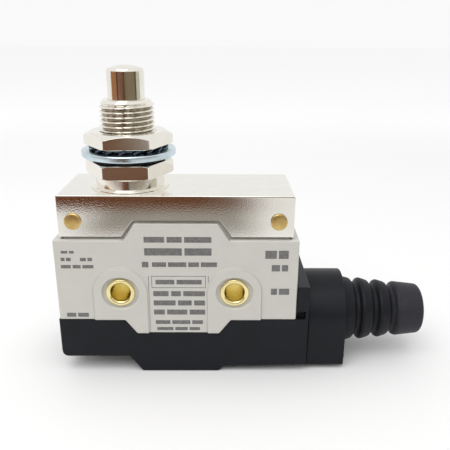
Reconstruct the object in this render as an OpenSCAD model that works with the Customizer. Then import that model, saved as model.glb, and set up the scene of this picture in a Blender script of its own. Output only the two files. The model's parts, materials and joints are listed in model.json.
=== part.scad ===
// Enclosed limit switch with a plain plunger in a threaded panel bushing.
// Origin: midway between the two mounting holes, at half the thickness.
// +X points to the cable boot, +Y to the back, +Z up along the plunger.

/* [Mounting holes] */
// Distance between the two mounting holes
hole_pitch = 25.4; // [24:0.1:28]
// Bore of the brass eyelets in the mounting holes
hole_bore = 4.3; // [3.4:0.1:4.6]
// Outer diameter of the eyelet's tube
eyelet_tube_d = 5.2; // [5:0.1:6]
// Outer diameter of the eyelet's flared rim
eyelet_rim_d = 6.4; // [6:0.1:7]
// Thickness of the flared rim
eyelet_rim_h = 0.6; // [0.3:0.1:0.8]
// Height of the oval recess round each hole
recess_h = 7.4; // [7:0.1:8]
// How much longer the recess is than it is high
recess_stretch = 0.7; // [0:0.1:1.5]
// Depth of the oval recess below the raised land
recess_depth = 0.9; // [0.7:0.1:1.2]

/* [Housing] */
// Width of the plastic housing
body_w = 53.4; // [52:0.2:64]
// Thickness of the housing without the raised lands
body_t = 21.6; // [20.4:0.2:26]
// Height of the side ledges above the holes
shoulder_z = 12.3; // [11.5:0.1:14]
// Depth of the lower edge at the sides
lower_edge = 6.7; // [6.5:0.1:8]
// Depth of the lower edge in the middle
keel_edge = 10.1; // [9:0.1:11.5]
// Half width of the middle part of the lower edge
keel_half = 9.3; // [8:0.1:10]
// Sideways run of the sloping edges, above and below
slope_run = 2.6; // [2:0.1:3.5]
// Height of the middle lip above the holes
lip_z = 16.25; // [15.5:0.05:16.5]
// Thickness of the lip in front of the metal cover
lip_t = 0.3; // [0.25:0.05:0.8]
// Depth of the step behind the lip
groove_depth = 1.6; // [1:0.1:2.5]
// Width of the gutter round the neck, under the metal cover's edge
gutter_w = 0.5; // [0.4:0.05:0.8]
// Depth of the gutter below the side ledges
gutter_depth = 0.6; // [0.3:0.1:0.7]
// Radius of the arched lands round the holes
land_r = 6.1; // [5.6:0.1:6.3]
// Height of the lands above the housing's faces
land_h = 0.45; // [0.3:0.05:0.8]
// Thickness of the end walls
end_wall = 4; // [3.8:0.1:5]
// Thickness of the front and back walls
side_wall = 1.9; // [1.7:0.1:2.2]
// Height of the inner ceiling above the holes
ceiling_z = 10.9; // [10.8:0.1:11.4]

/* [Metal cover] */
// Width of the metal cover
cover_w = 51; // [50:0.2:61]
// Thickness of the metal cover, front to back
cover_t = 19.4; // [18.8:0.1:23]
// Height of the cover's top above the holes
cover_top = 22.1; // [21.8:0.1:25]
// Height of the cover's lower edge in the middle
cover_mid_z = 16.45; // [16:0.05:17]
// Sideways gap between the cover's sloping edges and the lip
slope_gap = 0.3; // [0.2:0.05:0.6]
// Gap between the cover's side tabs and the ledges
tab_gap = 0.55; // [0.3:0.05:0.8]
// Thickness of the sheet metal
sheet = 0.6; // [0.5:0.05:0.8]
// Distance between the two rivets
rivet_pitch = 44.3; // [43:0.1:46]
// Height of the rivets above the holes
rivet_z = 16.4; // [16:0.1:17.5]
// Diameter of the rivet heads
rivet_head_d = 3.6; // [3:0.1:4]
// Height of the rivet heads
rivet_head_h = 0.6; // [0.4:0.1:0.8]
// Diameter of the rivet shanks
rivet_shank_d = 2.4; // [2:0.1:2.6]
// Thickness of the rubber sheet under the cover's top
top_gasket_h = 0.6; // [0.4:0.1:0.8]

/* [Panel bushing] */
// Distance of the plunger's axis from the middle, towards the left
axis_offset = 10.9; // [10:0.1:12]
// Outer diameter of the panel thread
thread_d = 12; // [11.6:0.1:13]
// Height of the bushing above the metal cover
bushing_h = 19; // [17:0.5:24]
// Chamfer at the top of the thread
bushing_chamfer = 1; // [0.5:0.1:1.2]
// Width of the narrow groove that marks off the thread's free end above the nuts
thread_groove_w = 0.6; // [0.55:0.05:0.8]
// Depth of the narrow groove
thread_groove_depth = 0.2; // [0.18:0.02:0.3]
// Diameter of the plain collar below the thread
collar_d = 15.3; // [14.6:0.1:16]
// Height of the collar's top above the metal cover
collar_h = 2.8; // [2.4:0.1:3]
// Diameter of the thin ring at the bushing's foot
ring_d = 17.7; // [17:0.1:18.4]
// Height of the thin ring
ring_h = 0.45; // [0.3:0.05:0.7]
// Diameter of the spigot through the metal cover
spigot_d = 13; // [12.6:0.1:14]
// Diameter of the rolled flange under the metal cover
flange_d = 15.2; // [14.6:0.1:15.8]
// Height of the rolled flange
flange_h = 0.8; // [0.6:0.1:1.2]
// Diameter of the counterbore that holds the plunger's collar
counterbore_d = 9.8; // [9.6:0.1:10]
// Distance from the bushing's top down to the counterbore
guide_len = 13.15; // [12:0.05:13.5]
// Distance from the bushing's top down to the wiper ring
wiper_depth = 2.4; // [2:0.1:4]
// Section of the wiper ring in the bushing
wiper_t = 0.72; // [0.6:0.02:0.8]

/* [Nuts and washers] */
// Width of the nuts across their flats
nut_af = 17; // [16:0.5:19]
// Thickness of the nuts
nut_h = 3; // [2.5:0.1:3.2]
// Gap between the collar and the lower nut
nut_gap = 0.15; // [0.1:0.05:0.3]
// Turn of the upper nut
upper_nut_turn = 6; // [-30:0.5:30]
// Turn of the lower nut
lower_nut_turn = 2.5; // [-30:0.5:30]
// Outer diameter of the black sealing washer
seal_washer_d = 16; // [15:0.5:16.5]
// Thickness of the sealing washer
seal_washer_h = 1.05; // [0.8:0.05:1.2]
// Outer diameter of the flat washer
flat_washer_d = 20.7; // [19.5:0.1:24]
// Thickness of the flat washer
flat_washer_h = 1.35; // [1:0.05:1.6]
// Outer diameter of the toothed washer
lock_washer_d = 17.4; // [16.5:0.1:18.4]
// Thickness of the toothed washer's ring
lock_ring_h = 0.5; // [0.4:0.05:0.7]
// Full height of the toothed washer
lock_washer_h = 1; // [0.9:0.05:1.2]
// Number of teeth on the toothed washer
lock_teeth = 18; // [12:1:20]
// Twist of each tooth
tooth_twist = 22; // [10:1:30]

/* [Plunger] */
// Diameter of the plunger
plunger_d = 8; // [7:0.1:8.6]
// Height of the plunger's straight side above the bushing
plunger_out = 5.8; // [5.6:0.1:8]
// Radius of the plunger's upper edge
plunger_edge = 0.8; // [0.5:0.1:1.2]
// Height of the plunger's crown over its edge radius
plunger_crown = 0.55; // [0.2:0.05:0.8]
// Height of the collar at the plunger's lower end
plunger_collar_h = 1.3; // [1:0.1:1.6]
// Diameter of the bore in the plunger
plunger_bore = 4.8; // [4.7:0.1:5]
// Depth of the bore in the plunger
plunger_bore_depth = 11.4; // [10.5:0.1:12]
// Travel of the plunger
plunger_travel = 5.5; // [4:0.1:5.5]
// Diameter of the inner pusher's head
pusher_head_d = 4.6; // [4.4:0.1:4.6]
// Length of the inner pusher's head inside the plunger
pusher_grip = 1.2; // [1:0.1:1.6]
// Diameter of the inner pusher's stem
pusher_stem_d = 3; // [2.6:0.1:3.2]

/* [Springs and seals] */
// Wire of the return spring
return_wire = 0.6; // [0.5:0.05:0.65]
// Mean diameter of the return spring
return_spring_d = 7.2; // [6.8:0.1:7.6]
// Turns of the return spring
return_turns = 5.5; // [4:0.5:6]
// Wire of the overtravel spring
over_wire = 0.5; // [0.4:0.05:0.55]
// Mean diameter of the overtravel spring
over_spring_d = 3.6; // [3.4:0.1:3.8]
// Turns of the overtravel spring
over_turns = 8; // [6:0.5:9]
// Diameter of the pocket for the seal and the spring seat
pocket_d = 11; // [10.6:0.1:12]
// Height of the pocket's floor above the holes
pocket_z = 15.5; // [15:0.1:16]
// Thickness of the rubber diaphragm
diaphragm_h = 0.8; // [0.6:0.1:1]
// Thickness of the steel spring seat
seat_h = 0.6; // [0.4:0.1:0.8]

/* [Switch block] */
// Thickness of the switch block
block_t = 17; // [15.8:0.2:17.2]
// Depth of the block's lower face below the holes
block_bottom = 6.4; // [5.6:0.1:6.6]
// Height of the block's top
block_top = 10.6; // [10.4:0.1:10.8]
// Wall of the block's upper half
block_wall = 1; // [0.8:0.1:1.1]
// Thickness of the contact strips
strip_t = 0.4; // [0.3:0.05:0.5]
// Width of the contact strips
strip_w = 5; // [4:0.2:5]
// Thickness of the screw tabs under the block
tab_t = 1.2; // [1:0.1:1.4]
// Distance between neighbouring terminal screws
terminal_pitch = 17.2; // [16.8:0.1:17.4]
// Diameter of the switch button
button_d = 3.2; // [2.8:0.1:3.4]
// Height of the button's top above the block
button_out = 1.3; // [1:0.1:1.4]
// Height of the snap blade's underside
blade_z = 6.9; // [6.7:0.1:7]
// Width of the snap blade
blade_w = 8; // [7:0.2:9]
// Diameter of the contact buttons
contact_d = 3.2; // [2.6:0.1:3.4]
// Distance of the contacts from the middle
contact_x = 15.5; // [15:0.1:16]

/* [Terminal cover] */
// How far the cover reaches past the housing at its left end
cover_overhang = 0.3; // [0:0.1:0.6]
// Depth of the cover's underside at the left
left_bottom = 16.4; // [15.5:0.1:17]
// Depth of the cover's underside at the right
right_bottom = 18.6; // [18:0.1:19]
// How much deeper the right underside gets towards the foot
right_fall = 0.5; // [0:0.1:0.8]
// Depth of the middle foot
foot_bottom = 20.3; // [19.8:0.05:21.5]
// Reach of the foot's flat underside to the left
foot_left = 8.6; // [7:0.1:9]
// Reach of the foot's flat underside to the right
foot_right = 9.2; // [7:0.1:9.6]
// Wall of the cover
cover_wall = 1.5; // [1.3:0.1:1.8]
// Thickness of the right-hand end block
end_block_t = 2.8; // [2.4:0.1:3.4]
// Height of the end block's top above the holes
end_block_z = 1.4; // [0.5:0.1:2]
// Height of the pry slot in the end block
pry_slot_h = 2; // [1.4:0.1:2.2]
// Thickness of the gasket on the cover's rim
rim_gasket_h = 0.8; // [0.6:0.1:1]

/* [Cable entry] */
// Depth of the cable axis below the holes
cable_z = 9.25; // [9:0.05:9.6]
// Bore for the cable
cable_bore = 8; // [6:0.2:9]
// Width of the gland base, which is also its round top's diameter
gland_w = 19.5; // [18.6:0.1:20.4]
// Depth of the gland base's underside
gland_bottom = 19.4; // [19:0.1:20]
// Length of the gland base along the cable
gland_len = 9; // [8.5:0.1:11]
// Diameter of the boot's neck inside the gland base
neck_d = 12.9; // [12.4:0.1:13.1]
// Diameter of the boot's hidden flange
boot_flange_d = 16.6; // [16:0.1:16.8]
// Thickness of the boot's hidden flange
boot_flange_h = 1.5; // [1.2:0.1:2]
// Diameter of the boot's first ring
boot_start_d = 16; // [14.8:0.1:16.4]
// Diameter of the boot at its rounded end
boot_end_d = 11.9; // [11.2:0.1:12.6]
// Spacing of the boot's grooves
groove_pitch = 4.3; // [4:0.05:4.8]
// Depth of the boot's grooves
groove_cut = 1.1; // [0.9:0.05:1.3]
// Width of the boot's grooves at their mouth
groove_mouth = 1.8; // [1.2:0.1:2.2]
// Width of the boot's grooves at their floor
groove_floor = 0.8; // [0.4:0.1:1]
// Length of the boot outside the gland base
boot_len = 19.6; // [19:0.2:24]
// Radius of the boot's rounded end
boot_round = 2.6; // [1.5:0.1:3]

/* [Clearances] */
// Radial clearance of a sliding or turning fit
run_fit = 0.05; // [0.03:0.01:0.08]
// Gap between fixed pieces that fit into each other
fixed_gap = 0.05; // [0.03:0.01:0.1]
// Gap between the metal cover and the housing's neck
neck_gap = 0.25; // [0.2:0.05:0.4]
// Gap between the switch block and the housing's cavity
block_gap = 0.4; // [0.3:0.05:0.6]

/* [Hidden] */
$fn = 96;
overrun = 0.5;            // how far a cutting shape reaches past what it cuts
axis_x = -axis_offset;
body_half = body_w / 2;
face_y = body_t / 2;
land_y = face_y + land_h;
floor_y = land_y - recess_depth;
slope_half = keel_half + slope_run;
lip_half = keel_half - 0.3;
lip_low_half = lip_half + slope_run;
cavity_half = body_half - end_wall;
cavity_y = face_y - side_wall;
cover_y = cover_t / 2;
neck_y = cover_y - sheet - neck_gap;
neck_half = cover_w / 2 - sheet - neck_gap;
cover_under = cover_top - sheet;
neck_top = cover_under - top_gasket_h;
cover_tab_z = shoulder_z + tab_gap;
bushing_top = cover_top + bushing_h;
flange_z = cover_under - flange_h;
shoulder_stop = bushing_top - guide_len;
guide_d = plunger_d + 2 * run_fit;
wiper_z = bushing_top - wiper_depth;
nut_z = cover_top + collar_h + nut_gap;
seal_washer_z = nut_z + nut_h;
flat_washer_z = seal_washer_z + seal_washer_h;
lock_washer_z = flat_washer_z + flat_washer_h;
upper_nut_z = lock_washer_z + lock_washer_h;
nut_bore_d = thread_d + 2 * run_fit + 0.06;
free_end_z = upper_nut_z + nut_h;
washer_bore_d = thread_d + 0.4;
plunger_top = bushing_top + plunger_out;
plunger_low = shoulder_stop - fixed_gap - plunger_collar_h;
plunger_collar_d = counterbore_d - 0.4;
over_spring_top = plunger_low + plunger_bore_depth;
pusher_top = plunger_low + pusher_grip;
pusher_neck_z = plunger_low - plunger_travel - 0.6;
button_top = block_top + button_out;
seat_z = pocket_z + diaphragm_h;
spring_low = seat_z + seat_h;
block_half = cavity_half - block_gap;
block_y = block_t / 2;
lid_half = block_half - block_wall;
blade_top = blade_z + strip_t;
upright_x = block_half - 2.3;
upright_t = 1.2;
swing = 1.52;             // drop of the moving contact over the full travel
contact_h = 0.6;
moving_h = 0.7;
moving_low = blade_z - moving_h;
moving_high = blade_top + moving_h;
open_face = moving_low - swing - 0.12;
closed_face = moving_high + 0.02;
open_seat = open_face - contact_h;
closed_seat = closed_face + contact_h;
block_split = open_seat - strip_t;
pivot_z = blade_z - 0.03 - upright_t / 2;
tab_side = 0.8;           // how far a screw tab is wider than its strip, each side
tab_len = 7.6;
open_upright_x = 4;
open_tab_len = 8;
contact_rivet_d = 2;
contact_land = 2;         // reach of a strip past its contact
tab_z = -block_bottom - tab_t;
washer_h = 0.8;
washer_d = 6;
terminal_screw_d = 3;
terminal_head_d = 5.4;
terminal_head_h = 2;
terminal_screw_top = -3.2;
rim_ledge = 0.8;          // width of the gasket outside the cavity
term_left = body_half + cover_overhang;
term_seam = 0.1;          // gap between the housing's end and the end block
term_right = body_half + term_seam + end_block_t;
foot_slope_left = 2.9;
foot_slope_right = 1.1;
corner_r = 1.4;
pry_depth = 1.6;
screw_x = body_half - end_wall / 2 - 0.05;
screw_y = 7.2;
cover_screw_d = 2.2;
cover_head_d = 4.2;
cover_head_h = 1.5;
cover_screw_top = -1.6;
cover_hole_depth = 7.5;
channel_half = cable_bore / 2 + 0.2;
gland_x = term_right;
gland_end = gland_x + gland_len;
gland_screw_y = gland_w / 2 - 2.3;
gland_screw_z = gland_bottom - 2.5;
gland_screw_d = 2.2;
gland_head_d = 3.8;
gland_head_h = 1.4;
gland_hole_depth = 2.6;
gland_head_x = gland_end - gland_head_h - 0.2;
boot_gap = 0.05;
boot_end = gland_end + boot_len;
first_groove = gland_end + 3.55;
rib_edge = 0.35;          // fall of a rib's edge beside a groove

// Turns a flat outline drawn in X and Z into a plate, centred on the middle plane.
module plate(t) rotate([90, 0, 0]) linear_extrude(t, center = true) children();

// A bar along Y, centred on the middle plane, at x and z.
module cross_pin(x, z, d, len) translate([x, 0, z]) rotate([90, 0, 0])
    cylinder(d = d, h = len, center = true);

// A block given by its low and high corners.
module block(low, high) translate(low) cube(high - low);

// A tube or disc on the plunger's axis.
module on_axis(z) translate([axis_x, 0, z]) children();

// Points of an arc about c, from angle a0 to a1.
function arc(c, r, a0, a1, n) = [for (i = [0:n]) let (a = a0 + (a1 - a0) * i / n) c + r * [cos(a), sin(a)]];

// A coil spring that stands on z = 0: one round wire swept along a helix.
module coil(mean_d, wire, length, turns) {
    sides = 8;
    steps = ceil(turns * 20);
    rise = length - wire;
    pts = [for (i = [0:steps]) let (a = 360 * turns * i / steps, z = wire / 2 + rise * i / steps)
        for (k = [0:sides - 1]) let (b = 360 * k / sides, r = mean_d / 2 + wire / 2 * cos(b))
            [r * cos(a), r * sin(a), z + wire / 2 * sin(b)]];
    walls = [for (i = [0:steps - 1]) for (k = [0:sides - 1]) let (m = (k + 1) % sides)
        [i * sides + k, (i + 1) * sides + k, (i + 1) * sides + m, i * sides + m]];
    low_end = [for (k = [0:sides - 1]) k];
    high_end = [for (k = [0:sides - 1]) steps * sides + sides - 1 - k];
    polyhedron(points = pts, faces = concat([low_end], walls, [high_end]));
}

// A slotless screw along +Z with its head from z = 0 down to -head_h.
module screw(head_d, head_h, shank_d, len) {
    difference() {
        translate([0, 0, -head_h]) cylinder(d = head_d, h = head_h);
        for (a = [0, 90]) rotate([0, 0, a])
            block([-head_d * 0.32, -0.3, -head_h - overrun], [head_d * 0.32, 0.3, -head_h * 0.5]);
    }
    cylinder(d = shank_d, h = len);
}

// ---- housing ----

module body_outline() polygon([
    [-body_half, -lower_edge], [-slope_half, -lower_edge], [-keel_half, -keel_edge],
    [keel_half, -keel_edge], [slope_half, -lower_edge], [body_half, -lower_edge],
    [body_half, shoulder_z], [-body_half, shoulder_z]]);

module lip_outline() polygon([
    [-lip_low_half, shoulder_z - overrun], [lip_low_half, shoulder_z - overrun],
    [lip_low_half, shoulder_z], [lip_half, lip_z], [-lip_half, lip_z], [-lip_low_half, shoulder_z]]);

// The housing's neck, which the metal cover slips over.
module neck() block([-neck_half, -neck_y, shoulder_z - gutter_depth - overrun],
    [neck_half, neck_y, neck_top]);

module land_outline() intersection() {
    body_outline();
    for (s = [-1, 1]) translate([s * hole_pitch / 2, 0]) {
        circle(r = land_r);
        translate([-land_r, -keel_edge - overrun]) square([2 * land_r, keel_edge + overrun]);
    }
}

module recess_outline() for (s = [-1, 1]) translate([s * hole_pitch / 2, 0]) {
    for (k = [-1, 1]) translate([k * recess_stretch / 2, 0]) circle(d = recess_h);
    square([recess_stretch, recess_h], center = true);
}

module housing() color([0.80, 0.80, 0.77]) difference() {
    union() {
        plate(body_t) body_outline();
        plate(2 * land_y) land_outline();
        plate(body_t) translate([0, -groove_depth]) lip_outline();
        for (s = [-1, 1]) translate([0, s * (face_y - lip_t / 2), 0]) plate(lip_t) lip_outline();
        neck();
    }
    difference() {
        block([-neck_half - gutter_w, -neck_y - gutter_w, shoulder_z - gutter_depth],
            [neck_half + gutter_w, neck_y + gutter_w, neck_top + overrun]);
        neck();
    }
    block([-cavity_half, -cavity_y, -keel_edge - overrun], [cavity_half, cavity_y, ceiling_z]);
    for (s = [-1, 1]) translate([0, s * (floor_y + recess_depth / 2 + overrun / 2), 0])
        plate(recess_depth + overrun) recess_outline();
    for (s = [-1, 1]) {
        cross_pin(s * hole_pitch / 2, 0, eyelet_tube_d + 2 * fixed_gap, 2 * land_y + overrun);
        cross_pin(s * rivet_pitch / 2, rivet_z, rivet_shank_d + 2 * fixed_gap, body_t);
    }
    on_axis(ceiling_z - overrun) cylinder(d = pusher_stem_d + 0.3, h = pocket_z - ceiling_z + 2 * overrun);
    on_axis(pocket_z) cylinder(d = pocket_d, h = neck_top - pocket_z + overrun);
    on_axis(flange_z - fixed_gap) cylinder(d = flange_d + 0.4, h = neck_top);
    for (x = [-screw_x, screw_x]) translate([x, x < 0 ? screw_y : -screw_y, -lower_edge - overrun])
        cylinder(d = cover_screw_d + 2 * fixed_gap, h = cover_hole_depth + overrun);
}

// ---- metal cover ----

module cover_outline(half, top) {
    low = lip_low_half + slope_gap;
    high = lip_half + slope_gap;
    polygon([[-half, cover_tab_z], [-low, cover_tab_z], [-high, cover_mid_z], [high, cover_mid_z],
        [low, cover_tab_z], [half, cover_tab_z], [half, top], [-half, top]]);
}

module metal_cover() color([0.78, 0.77, 0.73]) difference() {
    plate(cover_t) cover_outline(cover_w / 2, cover_top);
    block([-cover_w / 2 + sheet, -cover_y + sheet, cover_tab_z - overrun],
        [cover_w / 2 - sheet, cover_y - sheet, cover_under]);
    on_axis(cover_under - overrun) cylinder(d = spigot_d + 2 * fixed_gap, h = sheet + 2 * overrun);
    for (s = [-1, 1])
        cross_pin(s * rivet_pitch / 2, rivet_z, rivet_shank_d + 2 * fixed_gap, cover_t + overrun);
}

module cover_rivets() color([0.80, 0.68, 0.34]) for (s = [-1, 1]) {
    cross_pin(s * rivet_pitch / 2, rivet_z, rivet_shank_d, cover_t);
    for (f = [0, 180]) translate([s * rivet_pitch / 2, 0, rivet_z]) rotate([0, 0, f]) rotate([90, 0, 0])
        translate([0, 0, cover_y]) rotate_extrude() polygon([[0, 0], [rivet_head_d / 2, 0],
            [rivet_head_d / 2, rivet_head_h * 0.4], [rivet_head_d * 0.36, rivet_head_h], [0, rivet_head_h]]);
}

module top_gasket() color([0.16, 0.16, 0.17]) difference() {
    block([-neck_half, -neck_y, neck_top], [neck_half, neck_y, cover_under]);
    on_axis(neck_top - overrun) cylinder(d = flange_d + 0.4, h = top_gasket_h + 2 * overrun);
}

module mounting_eyelets() color([0.80, 0.70, 0.36]) for (s = [-1, 1]) difference() {
    union() {
        cross_pin(s * hole_pitch / 2, 0, eyelet_tube_d, 2 * floor_y);
        for (f = [-1, 1]) translate([0, f * (floor_y + eyelet_rim_h / 2), 0])
            cross_pin(s * hole_pitch / 2, 0, eyelet_rim_d, eyelet_rim_h);
    }
    cross_pin(s * hole_pitch / 2, 0, hole_bore, 2 * land_y);
}

// ---- bushing and plunger ----

module bushing() color([0.80, 0.79, 0.75]) on_axis(0) difference() {
    rotate_extrude() polygon([
        [0, flange_z], [flange_d / 2, flange_z], [flange_d / 2, cover_under], [spigot_d / 2, cover_under],
        [spigot_d / 2, cover_top], [ring_d / 2, cover_top], [ring_d / 2, cover_top + ring_h],
        [collar_d / 2, cover_top + ring_h], [collar_d / 2, cover_top + collar_h],
        [thread_d / 2, cover_top + collar_h], [thread_d / 2, free_end_z - thread_groove_w],
        [thread_d / 2 - thread_groove_depth, free_end_z - thread_groove_w],
        [thread_d / 2 - thread_groove_depth, free_end_z], [thread_d / 2, free_end_z],
        [thread_d / 2, bushing_top - bushing_chamfer], [thread_d / 2 - bushing_chamfer, bushing_top],
        [0, bushing_top]]);
    translate([0, 0, flange_z - overrun]) cylinder(d = guide_d, h = bushing_top);
    translate([0, 0, flange_z - overrun]) cylinder(d = counterbore_d, h = shoulder_stop - flange_z + overrun);
    translate([0, 0, wiper_z - wiper_t / 2 - fixed_gap])
        cylinder(d = guide_d + 2 * wiper_t + 2 * fixed_gap, h = wiper_t + 2 * fixed_gap);
}

module wiper_ring() color([0.1, 0.1, 0.1]) on_axis(wiper_z) rotate_extrude()
    translate([guide_d / 2 + wiper_t / 2, 0]) circle(d = wiper_t, $fn = 24);

module plunger() color([0.82, 0.81, 0.78]) on_axis(0) {
    rim = plunger_d / 2 - plunger_edge;
    crown_r = (rim * rim + plunger_crown * plunger_crown) / (2 * plunger_crown);
    crown_top = plunger_top + plunger_edge + plunger_crown;
    crown_angle = acos(rim / crown_r);
    difference() {
        rotate_extrude() polygon(concat(
            [[0, plunger_low], [plunger_collar_d / 2, plunger_low],
             [plunger_collar_d / 2, plunger_low + plunger_collar_h],
             [plunger_d / 2, plunger_low + plunger_collar_h]],
            arc([rim, plunger_top], plunger_edge, 0, 90, 8),
            [for (i = [1:8]) let (a = crown_angle + (90 - crown_angle) * i / 8)
                [i == 8 ? 0 : crown_r * cos(a), crown_top - crown_r + crown_r * sin(a)]]));
        translate([0, 0, plunger_low - overrun]) cylinder(d = plunger_bore, h = plunger_bore_depth + overrun);
    }
}

module overtravel_spring() color([0.65, 0.66, 0.68]) on_axis(pusher_top)
    coil(over_spring_d, over_wire, over_spring_top - pusher_top, over_turns);

module return_spring() color([0.65, 0.66, 0.68]) on_axis(spring_low)
    coil(return_spring_d, return_wire, plunger_low - spring_low, return_turns);

module inner_pusher() color([0.85, 0.84, 0.78]) {
    on_axis(pusher_neck_z) cylinder(d = pusher_head_d, h = pusher_top - pusher_neck_z);
    on_axis(button_top + fixed_gap) cylinder(d = pusher_stem_d, h = pusher_neck_z - button_top);
}

module diaphragm() color([0.12, 0.12, 0.12]) on_axis(pocket_z) difference() {
    cylinder(d = pocket_d - 2 * fixed_gap, h = diaphragm_h);
    translate([0, 0, -overrun]) cylinder(d = pusher_stem_d + 2 * run_fit, h = diaphragm_h + 2 * overrun);
}

module spring_seat() color([0.70, 0.70, 0.70]) on_axis(seat_z) difference() {
    cylinder(d = pocket_d - 2 * fixed_gap, h = seat_h);
    translate([0, 0, -overrun]) cylinder(d = pusher_head_d + 0.8, h = seat_h + 2 * overrun);
}

// ---- nuts and washers ----

// A hexagon nut on z = 0. Its corners are cut by a 30 degree cone that starts at a radius of
// low_r on the lower face and high_r on the upper one.
module hex_nut(low_r, high_r) difference() {
    across = nut_af / cos(30);
    reach = across / 2 + 1;
    intersection() {
        cylinder(d = across, h = nut_h, $fn = 6);
        rotate_extrude() polygon([[0, 0], [low_r, 0], [reach, (reach - low_r) * tan(30)],
            [reach, nut_h - (reach - high_r) * tan(30)], [high_r, nut_h], [0, nut_h]]);
    }
    translate([0, 0, -overrun]) cylinder(d = nut_bore_d, h = nut_h + 2 * overrun);
    translate([0, 0, nut_h - 0.4]) cylinder(d1 = nut_bore_d, d2 = nut_bore_d + 0.8, h = 0.4 + 0.001);
}

module upper_nut() color([0.82, 0.81, 0.78]) on_axis(upper_nut_z)
    rotate([0, 0, upper_nut_turn]) hex_nut(nut_af / 2 + 0.5, nut_af / 2 - 0.5);

module lower_nut() color([0.82, 0.81, 0.78]) on_axis(nut_z)
    rotate([0, 0, lower_nut_turn]) hex_nut(nut_af / 2 + 0.5, nut_af / 2 + 0.5);

module ring(d_out, d_in, h) difference() {
    cylinder(d = d_out, h = h);
    translate([0, 0, -overrun]) cylinder(d = d_in, h = h + 2 * overrun);
}

module seal_washer() color([0.10, 0.10, 0.10]) on_axis(seal_washer_z)
    ring(seal_washer_d, washer_bore_d, seal_washer_h);

module flat_washer() color([0.74, 0.84, 0.90]) on_axis(flat_washer_z)
    ring(flat_washer_d, washer_bore_d, flat_washer_h);

module lock_washer() color([0.35, 0.37, 0.40]) on_axis(lock_washer_z) {
    tooth_r0 = washer_bore_d / 2 + 0.9;
    tooth_len = lock_washer_d / 2 - tooth_r0;
    tooth_w = 1.5;
    mid = lock_washer_h / 2;
    translate([0, 0, mid - lock_ring_h / 2]) ring(2 * tooth_r0 + 0.4, washer_bore_d, lock_ring_h);
    intersection() {
        cylinder(d = lock_washer_d, h = lock_washer_h);
        for (i = [0:lock_teeth - 1]) rotate([0, 0, 360 / lock_teeth * (i + 0.5)])
            translate([tooth_r0, 0, mid]) rotate([tooth_twist, 0, 0])
                block([0, -tooth_w / 2, -lock_ring_h * 0.4],
                    [tooth_len + overrun, tooth_w / 2, lock_ring_h * 0.4]);
    }
}

// ---- switch block ----

module block_base() color([0.22, 0.13, 0.09]) difference() {
    block([-block_half, -block_y, -block_bottom], [block_half, block_y, block_split]);
    for (s = [-1, 1]) cross_pin(s * hole_pitch / 2, 0, eyelet_tube_d + 0.2, block_t + overrun);
    for (x = [-upright_x - upright_t / 2, upright_x - upright_t / 2, open_upright_x])
        block([x - fixed_gap, -strip_w / 2 - fixed_gap, -block_bottom - overrun],
            [x + upright_t + fixed_gap, strip_w / 2 + fixed_gap, block_split + overrun]);
    for (i = [-1:1]) translate([i * terminal_pitch, 0, -block_bottom - overrun])
        cylinder(d = terminal_screw_d + 0.2, h = block_bottom + terminal_screw_top + overrun + 0.2);
}

module block_lid() color([0.22, 0.13, 0.09]) difference() {
    block([-block_half, -block_y, block_split], [block_half, block_y, block_top]);
    block([-lid_half, -block_y + block_wall, block_split - overrun],
        [lid_half, block_y - block_wall, block_top - block_wall]);
    on_axis(block_split) cylinder(d = button_d + 2 * run_fit, h = block_top);
}

module switch_button() color([0.75, 0.18, 0.12]) {
    nub_h = 0.4;
    nub_d = 1.2;
    collar_z = blade_top + fixed_gap + nub_h;
    on_axis(blade_top + fixed_gap) cylinder(d = nub_d, h = nub_h);
    on_axis(collar_z) cylinder(d = button_d + nub_d, h = 1);
    on_axis(collar_z) cylinder(d = button_d, h = button_top - collar_z);
}

// The slots leave a tongue along the middle and two arms beside it.
module snap_blade() color([0.78, 0.52, 0.30]) translate([0, 0, blade_z]) difference() {
    tail = 0.7;
    low_x = -upright_x - tail;
    window = [14, 2.8];
    slot = [16, 0.6];
    slot_y = blade_w / 2 - 1.5;
    linear_extrude(strip_t) difference() {
        translate([low_x, -blade_w / 2]) square([contact_x + contact_land - low_x, blade_w]);
        translate([-5, -window[1] / 2]) square(window);
        for (s = [-1, 1]) translate([-7, s * slot_y - slot[1] / 2]) square(slot);
    }
    translate([contact_x, 0, -overrun])
        cylinder(d = contact_rivet_d + 2 * fixed_gap, h = strip_t + 2 * overrun);
}

module moving_contact() color([0.86, 0.86, 0.84]) translate([contact_x, 0, 0]) {
    translate([0, 0, moving_low]) cylinder(d = contact_d, h = moving_h);
    translate([0, 0, blade_z]) cylinder(d = contact_rivet_d, h = strip_t);
    translate([0, 0, blade_top]) cylinder(d = contact_d, h = moving_h);
}

module fixed_contacts() color([0.86, 0.86, 0.84]) for (z = [open_seat, closed_face])
    translate([contact_x, 0, z]) cylinder(d = contact_d, h = contact_h);

// A screw tab under the block, from x0 to x1, with the screw's hole at xs.
module screw_tab(x0, x1, xs) difference() {
    block([x0, -strip_w / 2 - tab_side, tab_z], [x1, strip_w / 2 + tab_side, -block_bottom]);
    translate([xs, 0, tab_z - overrun]) cylinder(d = terminal_screw_d + 0.1, h = tab_t + 2 * overrun);
}

// The upright part of a terminal, from the tab to height z.
module upright(x, z) block([x, -strip_w / 2, -block_bottom], [x + upright_t, strip_w / 2, z]);

// The upright's round top is the pivot of the snap blade.
module common_terminal() color([0.80, 0.66, 0.34]) {
    left = -upright_x - upright_t / 2;
    upright(left, pivot_z);
    cross_pin(-upright_x, pivot_z, upright_t, strip_w);
    screw_tab(left, left + tab_len, -terminal_pitch);
}

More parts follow.
